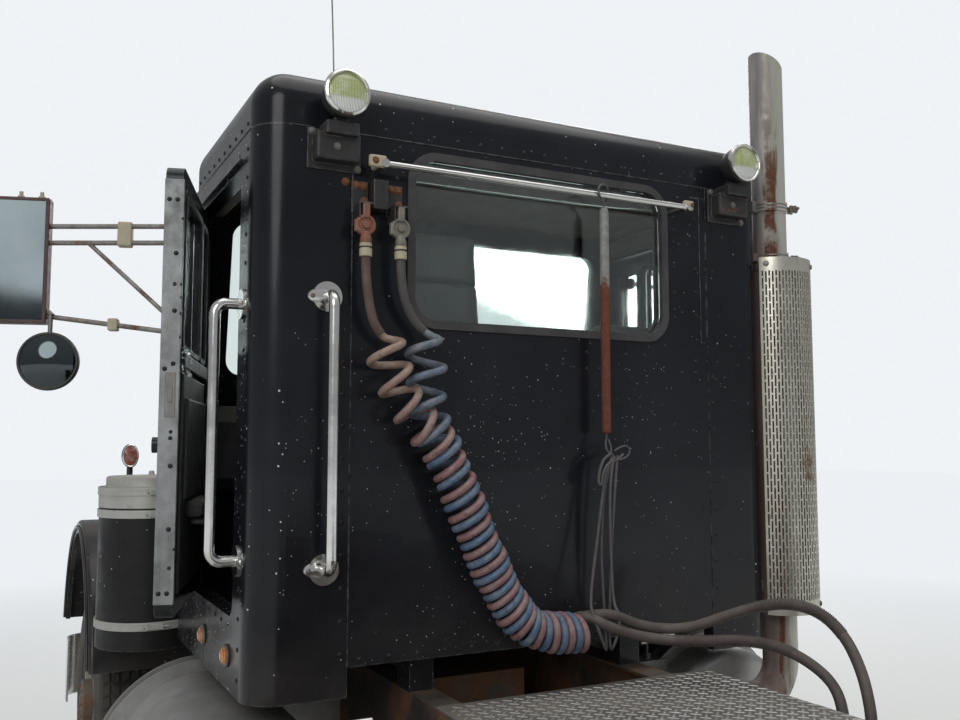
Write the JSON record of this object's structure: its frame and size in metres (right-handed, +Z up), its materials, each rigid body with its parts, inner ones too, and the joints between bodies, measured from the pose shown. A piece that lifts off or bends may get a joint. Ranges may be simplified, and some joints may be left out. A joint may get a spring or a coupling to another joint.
{
  "type": "semi truck tractor unit",
  "caption": "Long-nose day-cab road tractor on three axles with a tilting hood, opening doors, steered front wheels, fifth wheel and coiled air hoses.",
  "frame": {"origin": "on the ground under the vehicle, on its centreline, halfway along its length", "axes": "+X to the vehicle's right, +Y to its front, +Z up"},
  "size_m": [3.2499, 7.1, 3.231],
  "materials": {
    "cab_paint": "faded black paint, satin",
    "chassis_paint": "black chassis paint, dull",
    "cast_steel": "dirty cast steel",
    "rusty_steel": "rusted steel",
    "aluminium": "weathered",
    "bright_metal": "dulled chrome",
    "glass": "clear",
    "black_rubber": "matt",
    "tyre_rubber": "dusty",
    "seat_cover": "worn",
    "dark_plastic": "matt",
    "lamp_lens": "ribbed",
    "red_hose": "faded pink red",
    "blue_hose": "faded blue",
    "hose_sleeve": "brown grey",
    "wheel_paint": "worn white grey"
  },
  "bodies": {
    "chassis": {"frame_rails": "chassis_paint", "front_bumper": "bright_metal", "engine_block": "cast_steel", "radiator": "chassis_paint", "front_axle": "cast_steel", "drive_axles": "cast_steel", "drive_shafts": "cast_steel", "fuel_tanks": "aluminium", "deck_plate": "aluminium", "exhaust_stack": "rusty_steel", "exhaust_guard": "bright_metal", "cab_back": "cab_paint", "cab_sides": "cab_paint", "cab_front": "cab_paint", "cab_glass": "glass", "window_gasket": "black_rubber", "cab_roof": "cab_paint", "dashboard": "dark_plastic", "seats": "seat_cover", "air_cleaners": "bright_metal", "cab_bars": "bright_metal", "cab_lamps": "lamp_lens", "air_outlets": "rusty_steel", "hose_tender": "rusty_steel", "tail_bar": "chassis_paint", "fifth_wheel_base": "cast_steel", "hose_red_upper": "hose_sleeve", "hose_blue_upper": "hose_sleeve", "hose_coils": "red_hose", "hose_red_lower": "hose_sleeve", "hose_blue_lower": "blue_hose", "gladhands": "aluminium"},
    "hood": {"hood": "cab_paint", "fenders": "cab_paint", "grille": "bright_metal", "head_lamps": "lamp_lens"},
    "door_left": {"door_left": "cab_paint", "door_left_glass": "glass", "mirror_left": "bright_metal"},
    "door_right": {"door_right": "cab_paint", "door_right_glass": "glass", "mirror_right": "bright_metal"},
    "knuckle_left": {"knuckle_left": "cast_steel"},
    "knuckle_right": {"knuckle_right": "cast_steel"},
    "tie_rod": {"tie_rod": "cast_steel"},
    "fifth_wheel": {"fifth_wheel": "cast_steel"},
    "steering_wheel": {"steering_wheel": "dark_plastic"},
    "wheel_front_left": {"tyre_front_left": "tyre_rubber", "rim_front_left": "wheel_paint"},
    "wheel_front_right": {"tyre_front_right": "tyre_rubber", "rim_front_right": "wheel_paint"},
    "wheel_drive_1_left": {"tyre_drive_1_left": "tyre_rubber", "rim_drive_1_left": "wheel_paint"},
    "wheel_drive_1_right": {"tyre_drive_1_right": "tyre_rubber", "rim_drive_1_right": "wheel_paint"},
    "wheel_drive_2_left": {"tyre_drive_2_left": "tyre_rubber", "rim_drive_2_left": "wheel_paint"},
    "wheel_drive_2_right": {"tyre_drive_2_right": "tyre_rubber", "rim_drive_2_right": "wheel_paint"}
  },
  "joints": [
    {"name": "hood_tilt", "type": "hinge", "parent": "chassis", "child": "hood", "pos_m": [0, 3.47, 0.85], "axis": [-1, 0, 0], "range_deg": [0, 75]},
    {"name": "door_left_swing", "type": "hinge", "parent": "chassis", "child": "door_left", "pos_m": [-0.964, 1.463, 1.885], "axis": [0, 0, -1], "range_deg": [-17, 53]},
    {"name": "door_right_swing", "type": "hinge", "parent": "chassis", "child": "door_right", "pos_m": [0.964, 1.463, 1.885], "axis": [0, 0, 1], "range_deg": [0, 70]},
    {"name": "steer_left", "type": "hinge", "parent": "chassis", "child": "knuckle_left", "pos_m": [-0.88, 2.8, 0.525], "axis": [0, 0, 1], "range_deg": [-32, 32]},
    {"name": "steer_right", "type": "hinge", "parent": "chassis", "child": "knuckle_right", "pos_m": [0.88, 2.8, 0.525], "axis": [0, 0, 1], "range_deg": [-32, 32]},
    {"name": "tie_rod_link", "type": "hinge", "parent": "knuckle_left", "child": "tie_rod", "pos_m": [-0.88, 2.6, 0.385], "axis": [0, 0, 1], "range_deg": [-32, 32]},
    {"name": "steering_wheel_turn", "type": "hinge", "parent": "chassis", "child": "steering_wheel", "pos_m": [-0.43, 1.18, 1.84], "axis": [0, -0.606, 0.7954], "range_deg": [-512, 512]},
    {"name": "fifth_wheel_tilt", "type": "hinge", "parent": "chassis", "child": "fifth_wheel", "pos_m": [0, -1.9, 1.11], "axis": [1, 0, 0], "range_deg": [-12, 12]},
    {"name": "spin_front_left", "type": "hinge", "parent": "knuckle_left", "child": "wheel_front_left", "pos_m": [-1, 2.8, 0.525], "axis": [1, 0, 0], "continuous": true},
    {"name": "spin_front_right", "type": "hinge", "parent": "knuckle_right", "child": "wheel_front_right", "pos_m": [1, 2.8, 0.525], "axis": [1, 0, 0], "continuous": true},
    {"name": "spin_drive_1_left", "type": "hinge", "parent": "chassis", "child": "wheel_drive_1_left", "pos_m": [-1, -1.49, 0.525], "axis": [1, 0, 0], "continuous": true},
    {"name": "spin_drive_1_right", "type": "hinge", "parent": "chassis", "child": "wheel_drive_1_right", "pos_m": [1, -1.49, 0.525], "axis": [1, 0, 0], "continuous": true},
    {"name": "spin_drive_2_left", "type": "hinge", "parent": "chassis", "child": "wheel_drive_2_left", "pos_m": [-1, -2.81, 0.525], "axis": [1, 0, 0], "continuous": true},
    {"name": "spin_drive_2_right", "type": "hinge", "parent": "chassis", "child": "wheel_drive_2_right", "pos_m": [1, -2.81, 0.525], "axis": [1, 0, 0], "continuous": true}
  ],
  "couplings": [
    {"joint": "steer_right", "follows": "steer_left", "ratio": 1},
    {"joint": "tie_rod_link", "follows": "steer_left", "ratio": -1},
    {"joint": "steering_wheel_turn", "follows": "steer_left", "ratio": 16}
  ]
}
